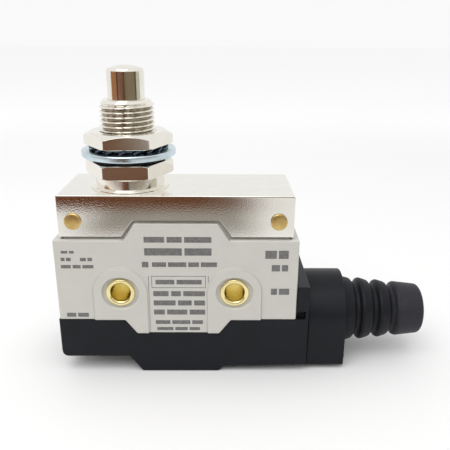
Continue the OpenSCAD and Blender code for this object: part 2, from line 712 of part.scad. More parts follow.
module open_terminal() color([0.80, 0.66, 0.34]) {
    right = open_upright_x + upright_t;
    upright(open_upright_x, open_seat);
    screw_tab(right - open_tab_len, right, 0);
    block([open_upright_x, -strip_w / 2, open_seat - strip_t],
        [contact_x + contact_land, strip_w / 2, open_seat]);
}

module closed_terminal() color([0.80, 0.66, 0.34]) {
    right = upright_x + upright_t / 2;
    upright(right - upright_t, closed_seat + strip_t);
    screw_tab(right - tab_len, right, terminal_pitch);
    block([contact_x - contact_land, -strip_w / 2, closed_seat], [right, strip_w / 2, closed_seat + strip_t]);
}

module terminal_washers() color([0.75, 0.76, 0.78]) for (i = [-1:1])
    translate([i * terminal_pitch, 0, tab_z - washer_h]) ring(washer_d, terminal_screw_d + 0.2, washer_h);

module terminal_screws() color([0.75, 0.76, 0.78]) for (i = [-1:1])
    translate([i * terminal_pitch, 0, tab_z - washer_h])
        screw(terminal_head_d, terminal_head_h, terminal_screw_d, terminal_screw_top - tab_z + washer_h);

// ---- terminal cover ----

module rim_line(x0, x1, drop) polygon([
    [x0, -lower_edge], [-slope_half, -lower_edge], [-keel_half, -keel_edge], [keel_half, -keel_edge],
    [slope_half, -lower_edge], [x1, -lower_edge],
    [x1, -lower_edge - drop], [slope_half, -lower_edge - drop], [keel_half, -keel_edge - drop],
    [-keel_half, -keel_edge - drop], [-slope_half, -lower_edge - drop], [x0, -lower_edge - drop]]);

module rim_gasket() color([0.14, 0.14, 0.15]) difference() {
    plate(2 * (cavity_y + rim_ledge))
        rim_line(-cavity_half - rim_ledge, cavity_half + rim_ledge, rim_gasket_h);
    block([-cavity_half, -cavity_y, -foot_bottom], [cavity_half, cavity_y, 0]);
}

module term_outline() polygon(concat(
    [[-keel_half, -keel_edge], [-slope_half, -lower_edge], [-term_left, -lower_edge]],
    arc([-term_left + corner_r, -left_bottom + corner_r], corner_r, 180, 270, 5),
    [[-foot_left - foot_slope_left, -left_bottom], [-foot_left, -foot_bottom], [foot_right, -foot_bottom],
     [foot_right + foot_slope_right, -right_bottom - right_fall], [term_right, -right_bottom],
     [term_right, end_block_z], [body_half + term_seam, end_block_z], [body_half + term_seam, -lower_edge],
     [slope_half, -lower_edge], [keel_half, -keel_edge]]));

// The hollow under the switch block, one wall inside the outline.
module wiring_outline() polygon([
    [-cavity_half, 0], [-cavity_half, -left_bottom + cover_wall],
    [-foot_left - foot_slope_left + 1, -left_bottom + cover_wall],
    [-foot_left + 1, -foot_bottom + cover_wall],
    [foot_right - 1, -foot_bottom + cover_wall], [foot_right, -right_bottom + cover_wall],
    [cavity_half, -right_bottom + cover_wall], [cavity_half, 0]]);

module terminal_cover() color([0.13, 0.14, 0.16]) difference() {
    plate(body_t) term_outline();
    plate(2 * cavity_y) wiring_outline();
    plate(2 * (cavity_y + rim_ledge + fixed_gap))
        rim_line(-cavity_half - rim_ledge - fixed_gap, cavity_half + rim_ledge + fixed_gap, rim_gasket_h);
    block([cavity_half - overrun, -channel_half, -cable_z - channel_half],
        [body_half + term_seam + 0.1, channel_half, 0]);
    translate([body_half, 0, -cable_z]) rotate([0, 90, 0]) cylinder(r = channel_half, h = end_block_t + 1);
    block([body_half, -face_y - overrun, -lower_edge],
        [term_right - 0.7, -face_y + pry_depth, pry_slot_h - lower_edge]);
    for (s = [-1, 1]) translate([s * screw_x, -s * screw_y, -foot_bottom]) {
        cylinder(d = cover_screw_d + 0.3, h = foot_bottom);
        cylinder(d = cover_head_d + 0.4, h = foot_bottom + cover_head_z(s));
    }
    for (s = [-1, 1]) translate([gland_x + overrun, s * gland_screw_y, -gland_screw_z]) rotate([0, -90, 0])
        cylinder(d = gland_screw_d + 2 * fixed_gap, h = gland_hole_depth + overrun);
}

// Height of the seat of a cover screw's head, which is sunk into the underside.
function cover_head_z(s) = cover_head_h + 0.3 - (s < 0 ? left_bottom : right_bottom);

module terminal_cover_screws() color([0.72, 0.73, 0.75]) for (s = [-1, 1])
    translate([s * screw_x, -s * screw_y, cover_head_z(s)])
        screw(cover_head_d, cover_head_h, cover_screw_d, cover_screw_top - cover_head_z(s));

// ---- cable entry ----

module gland_base() color([0.14, 0.15, 0.17]) difference() {
    translate([gland_x, 0, 0]) rotate([90, 0, 90]) linear_extrude(gland_len) {
        translate([0, -cable_z]) circle(d = gland_w);
        translate([-gland_w / 2, -gland_bottom]) square([gland_w, gland_bottom - cable_z]);
    }
    translate([gland_x - overrun, 0, -cable_z]) rotate([0, 90, 0]) {
        cylinder(d = neck_d + 2 * fixed_gap, h = gland_len + 2 * overrun);
        cylinder(d = boot_flange_d + 0.2, h = boot_flange_h + 0.1 + overrun);
    }
    for (s = [-1, 1]) translate([gland_x - overrun, s * gland_screw_y, -gland_screw_z]) rotate([0, 90, 0]) {
        cylinder(d = gland_screw_d + 0.3, h = gland_len + 2 * overrun);
        translate([0, 0, gland_head_x - gland_x + overrun])
            cylinder(d = gland_head_d + 0.3, h = gland_head_h + 1);
    }
}

module gland_screws() color([0.72, 0.73, 0.75]) for (s = [-1, 1])
    translate([gland_head_x, s * gland_screw_y, -gland_screw_z]) rotate([0, -90, 0])
        screw(gland_head_d, gland_head_h, gland_screw_d, gland_head_x - gland_x + gland_hole_depth - 0.2);

// Radius of the boot's rings at a distance along the cable, tapering to its end.
function boot_r(x) = (boot_start_d
    + (boot_end_d - boot_start_d) * (x - gland_end) / (boot_len - boot_round)) / 2;

// Outline of one groove between two ribs, with the ribs' rounded edges on both sides.
function groove_points(x) = let (r = boot_r(x), m = groove_mouth / 2, f = groove_floor / 2)
    [[r - 0.1, x - m - 0.5], [r - rib_edge, x - m], [r - groove_cut, x - f],
     [r - groove_cut, x + f], [r - rib_edge, x + m], [r - 0.1, x + m + 0.5]];

module cable_boot() color([0.20, 0.20, 0.22]) translate([0, 0, -cable_z]) rotate([0, 90, 0]) difference() {
    rotate_extrude() polygon(concat(
        [[0, gland_x + boot_gap], [boot_flange_d / 2, gland_x + boot_gap],
         [boot_flange_d / 2, gland_x + boot_flange_h], [neck_d / 2, gland_x + boot_flange_h],
         [neck_d / 2, gland_end + boot_gap], [boot_r(gland_end), gland_end + boot_gap]],
        [for (i = [0:2]) for (p = groove_points(first_groove + i * groove_pitch)) p],
        arc([boot_end_d / 2 - boot_round, boot_end - boot_round], boot_round, 0, 90, 8),
        [[0, boot_end]]));
    translate([0, 0, gland_x - overrun]) cylinder(d = cable_bore, h = boot_len + gland_len + 2 * overrun);
}

housing();
metal_cover();
cover_rivets();
top_gasket();
mounting_eyelets();
bushing();
wiper_ring();
diaphragm();
spring_seat();
return_spring();
plunger();
overtravel_spring();
inner_pusher();
lower_nut();
seal_washer();
flat_washer();
lock_washer();
upper_nut();
block_base();
block_lid();
switch_button();
snap_blade();
moving_contact();
fixed_contacts();
common_terminal();
open_terminal();
closed_terminal();
terminal_washers();
terminal_screws();
rim_gasket();
terminal_cover();
terminal_cover_screws();
gland_base();
gland_screws();
cable_boot();
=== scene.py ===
# %% [markdown]
# # A limit switch with a threaded bushing
# This script dresses the CAD model of a small limit switch. The CAD nodes give every place and size;
# the pieces that are seen get a finer mesh with rounded edges, a real helical thread and worn surfaces,
# and the inner pieces keep their CAD mesh and get a procedural finish. One unit is one metre.

# %% Start: load the frame
import json
from math import atan2, cos, pi, radians, sin, sqrt, tan

import bmesh
import bpy
from mathutils import Matrix, Vector


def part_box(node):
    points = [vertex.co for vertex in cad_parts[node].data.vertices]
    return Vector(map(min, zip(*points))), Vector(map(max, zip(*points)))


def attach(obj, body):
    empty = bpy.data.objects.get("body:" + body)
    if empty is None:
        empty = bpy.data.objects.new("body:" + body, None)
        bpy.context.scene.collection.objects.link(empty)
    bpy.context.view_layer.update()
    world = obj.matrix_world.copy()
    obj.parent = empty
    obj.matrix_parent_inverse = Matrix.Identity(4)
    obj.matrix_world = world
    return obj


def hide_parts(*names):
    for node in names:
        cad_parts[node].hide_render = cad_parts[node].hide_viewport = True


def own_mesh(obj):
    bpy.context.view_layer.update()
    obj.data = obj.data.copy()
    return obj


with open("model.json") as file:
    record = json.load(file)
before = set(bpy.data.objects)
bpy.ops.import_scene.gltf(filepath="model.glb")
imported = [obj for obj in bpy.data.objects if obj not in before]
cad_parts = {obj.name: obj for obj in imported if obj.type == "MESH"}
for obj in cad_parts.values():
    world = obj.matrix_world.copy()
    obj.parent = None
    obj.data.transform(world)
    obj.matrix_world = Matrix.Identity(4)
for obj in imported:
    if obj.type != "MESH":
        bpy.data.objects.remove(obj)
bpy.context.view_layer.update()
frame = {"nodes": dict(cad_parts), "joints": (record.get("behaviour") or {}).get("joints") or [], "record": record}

MM, MM_PER_METRE = 0.001, 1000.0
nodes = frame["nodes"]
slot_of = {part["node"]: part["material_slot"] for part in frame["record"]["subparts"]}
bodies = frame["record"]["behaviour"]["bodies"]
body_of = {node: body for body, members in bodies.items() for node in members}
print("frame:", len(nodes), "nodes; bodies:", ", ".join(bodies))


def box_mm(node):
    """Low and high corner of a CAD node, in millimetres."""
    low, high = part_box(node)
    return low / MM, high / MM


# %% [markdown]
# A camera is a pinhole with a sensor behind it. The switch is small and the camera stands close to it, so
# the lines of the body converge: that nearness is part of how a small object looks. The camera is
# placed with its position and three angles (turn, tilt, roll), and the lens follows from the field of view.

# %% Camera
CAMERA_PLACE = (9.97, -121.66, 54.85)      # millimetres
CAMERA_TURN, CAMERA_TILT, CAMERA_ROLL = 0.73, 19.51, 0.45   # degrees
LENS_MM, SENSOR_MM = 44.07, 36.0
SHIFT = (-0.0092, 0.0050)


def camera_frame(turn, tilt, roll):
    """Right, up and forward directions of a camera that looks along +Y when all angles are 0."""
    forward = Vector((sin(turn) * cos(tilt), cos(turn) * cos(tilt), -sin(tilt)))
    right = Vector((cos(turn), -sin(turn), 0))
    up = right.cross(forward)
    return cos(roll) * right + sin(roll) * up, cos(roll) * up - sin(roll) * right, forward


right, up, forward = camera_frame(radians(CAMERA_TURN), radians(CAMERA_TILT), radians(CAMERA_ROLL))
camera = bpy.data.objects.new("camera", bpy.data.cameras.new("camera"))
bpy.context.scene.collection.objects.link(camera)
turned = Matrix((right, up, -forward)).transposed().to_4x4()
camera.matrix_world = Matrix.Translation(Vector(CAMERA_PLACE) * MM) @ turned
camera.data.lens, camera.data.sensor_width = LENS_MM, SENSOR_MM
camera.data.shift_x, camera.data.shift_y = SHIFT
camera.data.clip_start = 5 * MM
bpy.context.scene.camera = camera
print("camera at", [round(v, 4) for v in camera.location])

# %% [markdown]
# ## Shader kit
# A shader is a small program drawn as nodes. Writing it with sockets and noodles gets long, so a `Wire`
# wraps one output socket and overloads +, -, *, / and the comparisons: `noise * 0.3 + 0.5` then builds two
# Math nodes. `Paint` wraps one material. Its `node` method makes any other node: the type, its settings,
# and a value or a wire for each socket.

# %% Shader kit
class Wire:
    """One output socket of a shader node, with arithmetic that builds Math nodes."""
    def __init__(self, paint, socket):
        self.paint, self.socket = paint, socket

    def math(self, operation, *values):
        """One Math node, with a value or a wire for each of its inputs."""
        inputs = {str(index): value for index, value in enumerate(values)}
        return self.paint.node("ShaderNodeMath", {"operation": operation}, **inputs)

    def __add__(self, other):
        return self.math("ADD", self, other)

    def __radd__(self, other):
        return self.math("ADD", other, self)

    def __sub__(self, other):
        return self.math("SUBTRACT", self, other)

    def __rsub__(self, other):
        return self.math("SUBTRACT", other, self)

    def __mul__(self, other):
        return self.math("MULTIPLY", self, other)

    def __rmul__(self, other):
        return self.math("MULTIPLY", other, self)

    def __truediv__(self, other):
        return self.math("DIVIDE", self, other)

    def __rtruediv__(self, other):
        return self.math("DIVIDE", other, self)

    def __lt__(self, other):
        return self.math("LESS_THAN", self, other)

    def __gt__(self, other):
        return self.math("GREATER_THAN", self, other)

    def __abs__(self):
        return self.math("ABSOLUTE", self)

    def step(self, low, high, from_value=0.0, to_value=1.0):
        """A smooth climb from from_value to to_value while the wire goes from low to high."""
        return self.paint.node("ShaderNodeMapRange", {"interpolation_type": "SMOOTHSTEP"}, Value=self,
                               From_Min=low, From_Max=high, To_Min=from_value, To_Max=to_value)

    def between(self, start, full, fade, end):
        """1 while the wire goes from full to fade, easing to 0 at start and at end."""
        return self.step(start, full) * self.step(fade, end, 1.0, 0.0)

    def blend(self, low, high):
        """Mixes two colours, with this wire as the share of the second."""
        return self.paint.node("ShaderNodeMix", {"data_type": "RGBA"}, 2, **{"0": self, "6": low, "7": high})


class Paint:
    """One material and its Principled surface."""
    def __init__(self, name, **surface):
        self.material = bpy.data.materials.new(name)
        self.material.use_nodes = True
        self.tree = self.material.node_tree
        self.surface = self.tree.nodes["Principled BSDF"]
        self.set(self.surface, surface)

    def set(self, node, inputs):
        for key, value in inputs.items():
            socket = node.inputs[int(key)] if key.isdigit() else node.inputs[key.replace("_", " ")]
            if isinstance(value, Wire):
                self.tree.links.new(value.socket, socket)
            elif isinstance(value, (tuple, list)) and socket.type == "RGBA":
                socket.default_value = (*value[:3], 1)
            else:
                socket.default_value = value

    def node(self, kind, settings=None, output=0, **inputs):
        """Any node: its settings first, then a value or a wire for each socket."""
        made = self.tree.nodes.new(kind)
        for key, value in (settings or {}).items():
            setattr(made, key, value)
        self.set(made, inputs)
        return Wire(self, made.outputs[output])

    def place(self):
        """Coordinates on the object, in metres: the Object output of Texture Coordinate."""
        return self.node("ShaderNodeTexCoord", output=3)

    def axis(self, index):
        """One coordinate on the object, in millimetres."""
        return self.node("ShaderNodeSeparateXYZ", output=index, Vector=self.place()) * MM_PER_METRE

    def noise(self, per_mm, detail=3.0, rough=0.5):
        """Cloudy noise from 0 to 1 with this many lumps per millimetre."""
        return self.node("ShaderNodeTexNoise", Vector=self.place(), Scale=per_mm * MM_PER_METRE,
                         Detail=detail, Roughness=rough)

    def bump(self, height, depth_mm):
        """Turns a height from 0 to 1 into tilted normals."""
        tilted = self.node("ShaderNodeBump", Height=height, Strength=1.0, Distance=depth_mm * MM)
        self.set(self.surface, {"Normal": tilted})


print("shader kit ready")

# %% [markdown]
# ## Finishes
# Real surfaces are never one number. Plated steel has a faint orange-peel that ripples its reflections,
# plastic has a fine spark-eroded texture, rubber collects dust. Each finish below varies its colour and
# roughness with noise at two scales and tilts its normals a little with a bump.

# %% Finishes
TARNISH_PER_MM, SMUDGE_PER_MM = 0.35, 1.1      # how close the marks on a metal lie
MOTTLE_PER_MM, DUST_PER_MM = 0.25, 2.0         # and those on a moulding
PIT_MM, PITS_PER_RIPPLE, RIPPLE_SHARE, DUST_SPREAD = 0.0015, 5, 0.8, 0.14


def metal(name, color, rough, peel_mm, peel_per_mm, dark=0.85, spread=0.12):
    """A metal with cloudy tarnish, ripples and fine pits.

    The ripples are peel_mm deep, peel_per_mm of them to a millimetre. The tarnish leaves the share dark
    of the colour, and the roughness varies by spread.
    """
    p = Paint(name, Metallic=1.0)
    bright = p.noise(TARNISH_PER_MM, 4.0).step(0.35, 0.7)
    smudges = p.noise(SMUDGE_PER_MM, 5.0)
    p.set(p.surface, {"Base Color": bright.blend(tuple(c * dark for c in color), color),
                      "Roughness": smudges * spread + (rough - spread * 0.4)})
    ripples, pits = p.noise(peel_per_mm, 2.0), p.noise(peel_per_mm * PITS_PER_RIPPLE, 2.0)
    p.bump(ripples * RIPPLE_SHARE + pits * (PIT_MM / peel_mm), peel_mm)
    return p


def moulded(name, color, rough, grain_per_mm, grain_mm, mottle=0.96, sheen=0.0, gloss=0.5):
    """A moulded plastic or rubber with a fine grain and a little dust.

    The grain is grain_mm deep. The mottling leaves the share mottle of the colour, and gloss is the
    strength of the mirrored light.
    """
    p = Paint(name)
    clean = p.noise(MOTTLE_PER_MM, 4.0).step(0.3, 0.7)
    dust = p.noise(DUST_PER_MM, 4.0)
    p.set(p.surface, {"Base Color": clean.blend(tuple(c * mottle for c in color), color),
                      "Roughness": dust * DUST_SPREAD + (rough - DUST_SPREAD / 2),
                      "Specular IOR Level": gloss})
    if sheen:
        p.set(p.surface, {"Sheen Weight": sheen, "Sheen Roughness": 0.5})
    p.bump(p.noise(grain_per_mm, 3.0, 0.6), grain_mm)
    return p


paints = {
    "housing_plastic": moulded("housing plastic", (0.595, 0.590, 0.548), 0.42, 9.0, 0.004, mottle=0.97),
    "nickel": metal("nickel", (0.86, 0.83, 0.76), 0.10, 0.003, 1.6, dark=0.96, spread=0.06),
    "blue_zinc": metal("blue zinc", (0.62, 0.74, 0.80), 0.24, 0.004, 2.0),
    "dark_steel": metal("dark steel", (0.10, 0.13, 0.17), 0.35, 0.004, 3.0),
    "spring_steel": metal("spring steel", (0.55, 0.55, 0.56), 0.25, 0.002, 3.0),
    "brass": metal("brass", (0.86, 0.66, 0.22), 0.16, 0.004, 1.8),
    "contact_copper": metal("contact copper", (0.80, 0.45, 0.27), 0.25, 0.003, 2.0),
    "contact_silver": metal("contact silver", (0.85, 0.85, 0.82), 0.30, 0.003, 3.0),
    "black_plastic": moulded("black plastic", (0.0068, 0.0082, 0.0118), 0.42, 7.0, 0.006,
                             mottle=0.8, gloss=0.22),
    "boot_rubber": moulded("boot rubber", (0.010, 0.011, 0.016), 0.55, 5.0, 0.012,
                           mottle=0.7, sheen=0.06, gloss=0.22),
    "seal_rubber": moulded("seal rubber", (0.012, 0.012, 0.013), 0.55, 5.0, 0.008, mottle=0.8),
    "phenolic": moulded("phenolic", (0.045, 0.018, 0.010), 0.38, 6.0, 0.006, mottle=0.6),
    "button_plastic": moulded("button plastic", (0.42, 0.045, 0.025), 0.35, 6.0, 0.004, mottle=0.9),
    "pusher_plastic": moulded("pusher plastic", (0.66, 0.63, 0.54), 0.35, 6.0, 0.004, mottle=0.95),
}
for node, cad in nodes.items():
    cad.data.materials.clear()
    cad.data.materials.append(paints[slot_of[node]].material)
print("finishes:", ", ".join(sorted(paints)))

# %% [markdown]
# ## Mesh kit
# Two ways of making a piece cover nearly the whole switch. `revolve` turns an outline round an axis, for
# everything round; `fillet` first rounds the outline's corners, because a sharp edge gives no highlight.
# `softened` takes the flat-sided CAD shape, joins its triangles back into faces and rounds the edges with
# a Bevel modifier. Where many edges meet, that modifier can throw a point out of the part, so its result
# is kept as a plain mesh and every point is held to the CAD box.

# %% Mesh kit
TINY = 1e-6
SAME_POINT_MM = 1e-5
SOFT_ABOVE_DEG, COPLANAR_DEG, SAME_CAD_POINT = 28, 1.0, 2e-6     # for softened, the last in metres


def quarter(steps):
    """Angles from 0 to a right angle in equal steps."""
    return [pi / 2 * k / steps for k in range(steps + 1)]


def fillet(points, radii, steps=4):
    """A closed outline with its corners rounded. radii holds one radius for each corner."""
    out = []
    for i, corner in enumerate(points):
        before, here, after = (Vector(points[k]) for k in (i - 1, i, (i + 1) % len(points)))
        a, b = before - here, after - here
        if radii[i] <= 0 or a.length < TINY or b.length < TINY:
            out.append(tuple(here))
            continue
        half = a.angle(b) / 2
        reach = min(radii[i] / tan(half), 0.49 * a.length, 0.49 * b.length)
        radius = reach * tan(half)
        centre = here + (a.normalized() + b.normalized()).normalized() * (radius / sin(half))
        start, end = here + a.normalized() * reach - centre, here + b.normalized() * reach - centre
        turn = start.angle(end)
        sign = 1 if start.cross(end) > 0 else -1
        for k in range(steps + 1):
            t = sign * turn * k / steps
            out.append((centre.x + start.x * cos(t) - start.y * sin(t),
                        centre.y + start.x * sin(t) + start.y * cos(t)))
    return out


def finish_piece(name, bm, body, paint_slot, replaced=(), sharp_deg=38):
    """Makes an object from a bmesh in millimetres: normals outward, smooth faces, sharp edges kept."""
    bmesh.ops.remove_doubles(bm, verts=bm.verts, dist=SAME_POINT_MM)
    bmesh.ops.recalc_face_normals(bm, faces=bm.faces)
    for v in bm.verts:
        v.co *= MM
    for f in bm.faces:
        f.smooth = True
    for e in bm.edges:
        e.smooth = not (e.is_manifold and e.calc_face_angle(0) > radians(sharp_deg))
    mesh = bpy.data.meshes.new(name)
    bm.to_mesh(mesh)
    bm.free()
    made = bpy.data.objects.new(name, mesh)
    bpy.context.scene.collection.objects.link(made)
    mesh.materials.append(paints[paint_slot].material)
    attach(made, body)
    if replaced:
        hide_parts(*replaced)
    print(f"{name}: {len(mesh.polygons)} faces")
    return made


def along_z(x):
    """Places (radius, angle, height) on an upright axis at x, in the middle of the body's depth."""
    return lambda r, a, h: (x + r * cos(a), r * sin(a), h)


def along_y(x, z):
    """Places (radius, angle, height) on an axis along Y at x, z."""
    return lambda r, a, h: (x + r * cos(a), h, z + r * sin(a))


def along_x(y, z):
    """Places (radius, angle, height) on an axis along X at y, z."""
    return lambda r, a, h: (h, y + r * cos(a), z + r * sin(a))


def revolve(bm, outline, place, turns, wobble=None):
    """Adds a closed outline of (radius, height) points, turned round an axis in this many steps.

    wobble(radius, height, angle) gives a point its radius and height, where they change round the axis.
    """
    rings = []
    for i in range(turns):
        a = 2 * pi * i / turns
        ring = []
        for r, h in outline:
            if wobble and r > TINY:
                r, h = wobble(r, h, a)
            ring.append(bm.verts.new(place(r, a, h)))
        rings.append(ring)
    count = len(outline)
    for i in range(turns):
        low, high = rings[i], rings[(i + 1) % turns]
        for k in range(count):
            m = (k + 1) % count
            if outline[k][0] > TINY or outline[m][0] > TINY:
                bm.faces.new([low[k], low[m], high[m], high[k]])


def softened(name, node, width, segments, weight=None):
    """A copy of a CAD node whose edges are rounded by width, held to the node's own box.

    weight(x, y, z) is the share of the width at an edge whose middle is there.
    """
    bm = bmesh.new()
    bm.from_mesh(nodes[node].data)
    bmesh.ops.remove_doubles(bm, verts=bm.verts, dist=SAME_CAD_POINT)
    bmesh.ops.dissolve_limit(bm, angle_limit=radians(COPLANAR_DEG), verts=bm.verts, edges=bm.edges)
    weights = bm.edges.layers.float.new("bevel_weight_edge")
    for e in bm.edges:
        middle = (e.verts[0].co + e.verts[1].co) / 2 / MM
        share = weight(*middle) if weight else 1.0
        e[weights] = share if e.is_manifold and e.calc_face_angle(0) > radians(SOFT_ABOVE_DEG) else 0.0
    for f in bm.faces:
        f.smooth = True
    mesh = bpy.data.meshes.new(name)
    bm.to_mesh(mesh)
    bm.free()
    made = bpy.data.objects.new(name, mesh)
    bpy.context.scene.collection.objects.link(made)
    mesh.materials.append(paints[slot_of[node]].material)
    rounding = made.modifiers.new("rounding", "BEVEL")
    rounding.width, rounding.segments, rounding.limit_method = width * MM, segments, "WEIGHT"
    rounding.use_clamp_overlap, rounding.harden_normals = False, False
    rounding.miter_outer = "MITER_SHARP"
    even = made.modifiers.new("even shading", "WEIGHTED_NORMAL")
    even.keep_sharp = True
    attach(made, body_of[node])
    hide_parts(node)
    bpy.context.view_layer.update()
    rounded = bpy.data.meshes.new_from_object(made.evaluated_get(bpy.context.evaluated_depsgraph_get()))
    low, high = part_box(node)
    held = 0
    for v in rounded.vertices:
        inside = Vector(min(max(v.co[k], low[k]), high[k]) for k in range(3))
        held += (inside - v.co).length > TINY
        v.co = inside
    made.modifiers.clear()
    made.data = rounded
    print(f"{name}: {len(rounded.polygons)} faces, {held} points held to the CAD box")
    return made


print("mesh kit ready")

# %% [markdown]
# ## Housing
# The body is one moulding, so every outer edge has a small radius that catches the light. The CAD
# solid has the exact faces; rounding its edges with a Bevel modifier keeps those faces and adds the
# highlights. The lip under the metal cover is thin, so its edges get a smaller share of the radius.

# %% Housing
low, high = box_mm("housing")
HOUSING_EDGE, SHOULDER_Z, LIP_H = 0.32, 12.3, 2.5
LIP_SHARE, SHOULDER_SHARE = 0.3, 0.45


def housing_share(x, y, z):
    """Share of the rounding: small on the lip, less than full along the shoulder."""
    if z > SHOULDER_Z + LIP_H:
        return LIP_SHARE
    return SHOULDER_SHARE if abs(z - SHOULDER_Z) < 0.1 else 1.0


softened("housing_body", "housing", HOUSING_EDGE, 3, housing_share)
print("housing from z", round(low.z, 2), "to", round(high.z, 2))

# %% [markdown]
# ## Metal cover
# A cap drawn from sheet has round shoulders where the sheet was bent over the punch, and its cut edge is
# broken a little. Both come from rounding the CAD edges. It is polished brighter than the other nickel,
# and the sheet is a little wavy, so it has a finish of its own.

# %% Metal cover
COVER_EDGE, CUT_EDGE_SHARE, SHOULDERS_ABOVE = 0.42, 0.5, 20
cover_nickel = metal("cover nickel", (0.86, 0.84, 0.78), 0.05, 0.009, 3.0, dark=0.97, spread=0.05)
shell = softened("cover_shell", "metal_cover", COVER_EDGE, 5,
                 lambda x, y, z: 1.0 if z > SHOULDERS_ABOVE else CUT_EDGE_SHARE)
shell.data.materials[0] = cover_nickel.material
COVER_TOP = box_mm("metal_cover")[1].z
print("top of the cover at z", round(COVER_TOP, 2))

# %% [markdown]
# ## Rivets
# Two brass rivets hold the cover. Each has a low domed head on both faces and a shank between them, all
# of them turned outlines. Years of handling have made the brass dull and brown in places.

# %% Rivets
RIVET_D, RIVET_HEAD, RIVET_DOME, SHANK_D = 3.6, 0.6, 0.22, 2.4
rivet_low, rivet_high = box_mm("cover_rivets")
rivet_x, rivet_z = rivet_high.x - RIVET_D / 2, (rivet_low.z + rivet_high.z) / 2
head_y, under_head = rivet_high.y, rivet_high.y - RIVET_HEAD
dome = [(RIVET_D / 2 * sin(a), head_y - RIVET_DOME * (1 - cos(a))) for a in quarter(9)]
head = [(0, head_y), *dome[1:], (RIVET_D / 2, under_head), (0, under_head)]
shank = [(0, under_head), (SHANK_D / 2, under_head), (SHANK_D / 2, -under_head), (0, -under_head)]
bm = bmesh.new()
for side in (-1, 1):
    for face in (-1, 1):
        revolve(bm, [(r, face * h) for r, h in head], along_y(side * rivet_x, rivet_z), 64)
    revolve(bm, shank, along_y(side * rivet_x, rivet_z), 32)
heads = finish_piece("rivet_heads", bm, "root", "brass", ("cover_rivets",))
worn_brass = metal("worn brass", (0.74, 0.53, 0.20), 0.30, 0.012, 2.2, dark=0.72, spread=0.14)
heads.data.materials[0] = worn_brass.material

# %% [markdown]
# ## Mounting eyelets
# An eyelet is a tube whose ends are rolled outward. Its section is a wall with a curl at each end; the
# curl starts inside the bore, so the mouth flares like a bell. Turning that section round the axis of the
# hole makes it.

# %% Eyelets
RIM_D, RIM_H, RIM_EDGE, TUBE_D, BORE_D, MOUTH_R = 6.4, 0.6, 0.25, 5.2, 4.3, 0.55
eye_high = box_mm("mounting_eyelets")[1]
eye_x, eye_y = eye_high.x - RIM_D / 2, eye_high.y
mouth = [(BORE_D / 2 + MOUTH_R * (1 - cos(a)), eye_y - MOUTH_R * (1 - sin(a))) for a in quarter(8)]
back = [(RIM_D / 2 - RIM_EDGE * (1 - cos(a)), eye_y - RIM_EDGE * (1 - sin(a)))
        for a in reversed(quarter(6))]
half = [*mouth, *back, (RIM_D / 2, eye_y - RIM_H), (TUBE_D / 2, eye_y - RIM_H)]
eyelet = half + [(r, -h) for r, h in reversed(half)]
bm = bmesh.new()
for side in (-1, 1):
    revolve(bm, eyelet, along_y(side * eye_x, 0), 96)
rolled = finish_piece("rolled_eyelets", bm, "root", "brass", ("mounting_eyelets",))
pale_brass = metal("pale brass", (0.91, 0.79, 0.40), 0.20, 0.003, 1.8, dark=0.88, spread=0.10)
rolled.data.materials[0] = pale_brass.material

# %% [markdown]
# ## Bushing
# The bushing is a turned part: a thin ring on the cover, a collar, and an M12 thread with a chamfered
# end. Turning an outline would give rings, not a thread, so the surface is a grid: each point's
# height is compared with the helix, which climbs one pitch a turn, and the distance to the nearest
# crest sets its radius. The chamfer cuts the crests off at the top.

# %% Bushing
THREAD_R, PITCH, THREAD_DEPTH, ROOT_R = 6.0, 1.0, 0.58, 5.3
RING_R, RING_H, COLLAR_R, COLLAR_H = 8.85, 0.45, 7.65, 2.8
GUIDE_R, END_CHAMFER, THREAD_STOP = 4.05, 1.0, 0.02
MOUTH_WIDE, MOUTH_BREAK, MOUTH_DEEP = 0.22, 0.06, 0.25
CREST_FLAT, FLANK, ROUNDNESS = 0.07, 0.30, 0.35     # the first two as shares of the pitch
TURNS, ROWS_PER_PITCH, CREST_MARK = 144, 16, 0.001
bush_low, bush_high = box_mm("bushing")
AXIS_X = (bush_low.x + bush_high.x) / 2
bush_top = bush_high.z
thread_low, thread_high = COVER_TOP + COLLAR_H, bush_top - THREAD_STOP


def thread(r, h, a):
    """Cuts the helical thread into the stretch that is at the crest radius."""
    if abs(r - THREAD_R) > 2 * CREST_MARK:
        return r, h
    turn = (h / PITCH - a / (2 * pi)) % 1.0
    off_crest = min(turn, 1 - turn)
    cut = min(max((off_crest - CREST_FLAT) / FLANK, 0.0), 1.0)
    eased = cut * cut * (3 - 2 * cut)
    cut_r = THREAD_R - THREAD_DEPTH * (eased * ROUNDNESS + cut * (1 - ROUNDNESS))
    return min(cut_r, THREAD_R - max(0.0, h - (bush_top - END_CHAMFER))), h


rows = int((thread_high - thread_low) / PITCH * ROWS_PER_PITCH)
crest = [(THREAD_R + CREST_MARK, thread_low + (thread_high - thread_low) * k / rows) for k in range(rows + 1)]
foot = fillet([(GUIDE_R, COVER_TOP), (RING_R, COVER_TOP), (RING_R, COVER_TOP + RING_H),
               (COLLAR_R, COVER_TOP + RING_H), (COLLAR_R, thread_low), (ROOT_R, thread_low)],
              [0, 0, 0.2, 0.12, 0.3, 0])
top = [(THREAD_R - END_CHAMFER - 0.04, bush_top), (GUIDE_R + MOUTH_WIDE, bush_top),
       (GUIDE_R + MOUTH_BREAK, bush_top - 0.07), (GUIDE_R, bush_top - MOUTH_DEEP)]
bm = bmesh.new()
revolve(bm, foot + crest + top, along_z(AXIS_X), TURNS, thread)
threaded = finish_piece("threaded_bushing", bm, "root", "nickel", ("bushing",), 50)
print("thread:", rows, "rows of", TURNS, "points, axis at x", round(AXIS_X, 2))
